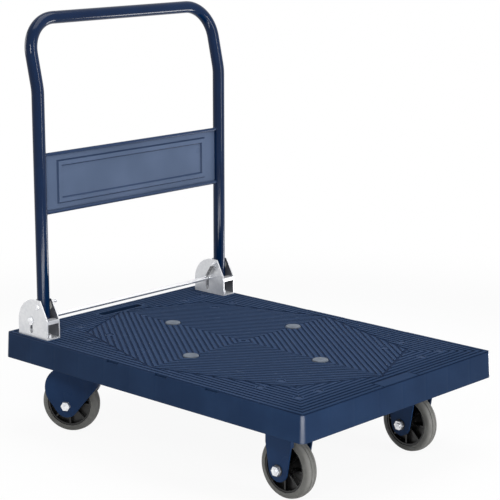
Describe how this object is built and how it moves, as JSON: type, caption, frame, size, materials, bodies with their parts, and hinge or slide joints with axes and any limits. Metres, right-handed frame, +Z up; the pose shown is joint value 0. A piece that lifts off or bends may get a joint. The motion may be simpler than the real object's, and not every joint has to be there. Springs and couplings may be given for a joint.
{
  "type": "folding platform cart",
  "caption": "Platform hand cart with a ribbed plastic deck, a fold-down tube handle locked by a foot release bar, fixed front casters and swivel rear casters.",
  "frame": {"origin": "on the floor under the middle of the deck", "axes": "+Y runs from the front edge of the deck to the handle end, +X across the deck, +Z up"},
  "size_m": [0.634, 0.915, 0.9658],
  "materials": {
    "deck_plastic": "fine grained navy moulding, slightly scuffed",
    "grip_rubber": "matt mid-grey rubber",
    "navy_paint": "semi-gloss navy powder paint",
    "galvanised": "bright galvanised sheet",
    "zinc_fastener": "bright zinc plating",
    "spring_steel": "oiled spring steel",
    "nylon": "natural nylon",
    "tyre_rubber": "satin grey rubber tread",
    "hub_plastic": "black moulded plastic"
  },
  "bodies": {
    "chassis": {"axle_bolt_front_left": "zinc_fastener", "axle_bolt_front_right": "zinc_fastener", "axle_nut_front_left": "zinc_fastener", "axle_nut_front_right": "zinc_fastener", "axle_sleeve_front_left": "zinc_fastener", "axle_sleeve_front_right": "zinc_fastener", "bracket_bolts": "zinc_fastener", "caster_bolts_front_left": "zinc_fastener", "caster_bolts_front_right": "zinc_fastener", "caster_bolts_rear_left": "zinc_fastener", "caster_bolts_rear_right": "zinc_fastener", "caster_nuts": "zinc_fastener", "deck": "deck_plastic", "fixed_fork_left": "navy_paint", "fixed_fork_right": "navy_paint", "grip_pad_front": "grip_rubber", "grip_pad_left": "grip_rubber", "grip_pad_rear": "grip_rubber", "grip_pad_right": "grip_rubber", "hinge_bracket_left": "galvanised", "hinge_bracket_right": "galvanised", "kingpin_left": "zinc_fastener", "kingpin_right": "zinc_fastener", "pivot_pin_left": "zinc_fastener", "pivot_pin_right": "zinc_fastener", "pivot_washers_left": "nylon", "pivot_washers_right": "nylon", "return_spring_left": "spring_steel", "return_spring_right": "spring_steel", "spring_anchor_left": "zinc_fastener", "spring_anchor_right": "zinc_fastener", "swivel_balls_left": "spring_steel", "swivel_balls_right": "spring_steel", "swivel_plate_left": "navy_paint", "swivel_plate_right": "navy_paint"},
    "handle": {"handle_tube": "navy_paint", "handle_panel": "navy_paint"},
    "foot_bar": {"release_bar": "galvanised", "bar_cap_left": "zinc_fastener", "bar_cap_right": "zinc_fastener"},
    "swivel_left": {"swivel_fork_left": "navy_paint", "axle_bolt_rear_left": "zinc_fastener", "axle_nut_rear_left": "zinc_fastener", "axle_sleeve_rear_left": "zinc_fastener"},
    "swivel_right": {"swivel_fork_right": "navy_paint", "axle_bolt_rear_right": "zinc_fastener", "axle_nut_rear_right": "zinc_fastener", "axle_sleeve_rear_right": "zinc_fastener"},
    "wheel_front_left": {"tyre_front_left": "tyre_rubber", "hub_front_left": "hub_plastic"},
    "wheel_front_right": {"tyre_front_right": "tyre_rubber", "hub_front_right": "hub_plastic"},
    "wheel_rear_left": {"tyre_rear_left": "tyre_rubber", "hub_rear_left": "hub_plastic"},
    "wheel_rear_right": {"tyre_rear_right": "tyre_rubber", "hub_rear_right": "hub_plastic"}
  },
  "joints": [
    {"name": "handle_fold", "type": "hinge", "parent": "chassis", "child": "handle", "pos_m": [0, 0.354, 0.306], "axis": [1, 0, 0], "range_deg": [0, 90]},
    {"name": "foot_release", "type": "slide", "parent": "chassis", "child": "foot_bar", "axis": [0, 0, -1], "range_m": [0, 0.024], "stiffness_N_per_m": 1500, "springref_m": -0.012, "deforming": ["return_spring_left", "return_spring_right"]},
    {"name": "swivel_left", "type": "hinge", "parent": "chassis", "child": "swivel_left", "pos_m": [-0.203, 0.311, 0.158], "axis": [0, 0, 1], "continuous": true},
    {"name": "swivel_right", "type": "hinge", "parent": "chassis", "child": "swivel_right", "pos_m": [0.203, 0.311, 0.158], "axis": [0, 0, 1], "continuous": true},
    {"name": "wheel_spin_front_left", "type": "hinge", "parent": "chassis", "child": "wheel_front_left", "pos_m": [-0.203, -0.32, 0.068], "axis": [1, 0, 0], "continuous": true},
    {"name": "wheel_spin_front_right", "type": "hinge", "parent": "chassis", "child": "wheel_front_right", "pos_m": [0.203, -0.32, 0.068], "axis": [1, 0, 0], "continuous": true},
    {"name": "wheel_spin_rear_left", "type": "hinge", "parent": "swivel_left", "child": "wheel_rear_left", "pos_m": [-0.21916, 0.34205, 0.068], "axis": [0.887, 0.4617, 0], "continuous": true},
    {"name": "wheel_spin_rear_right", "type": "hinge", "parent": "swivel_right", "child": "wheel_rear_right", "pos_m": [0.18684, 0.34205, 0.068], "axis": [0.887, 0.4617, 0], "continuous": true}
  ]
}
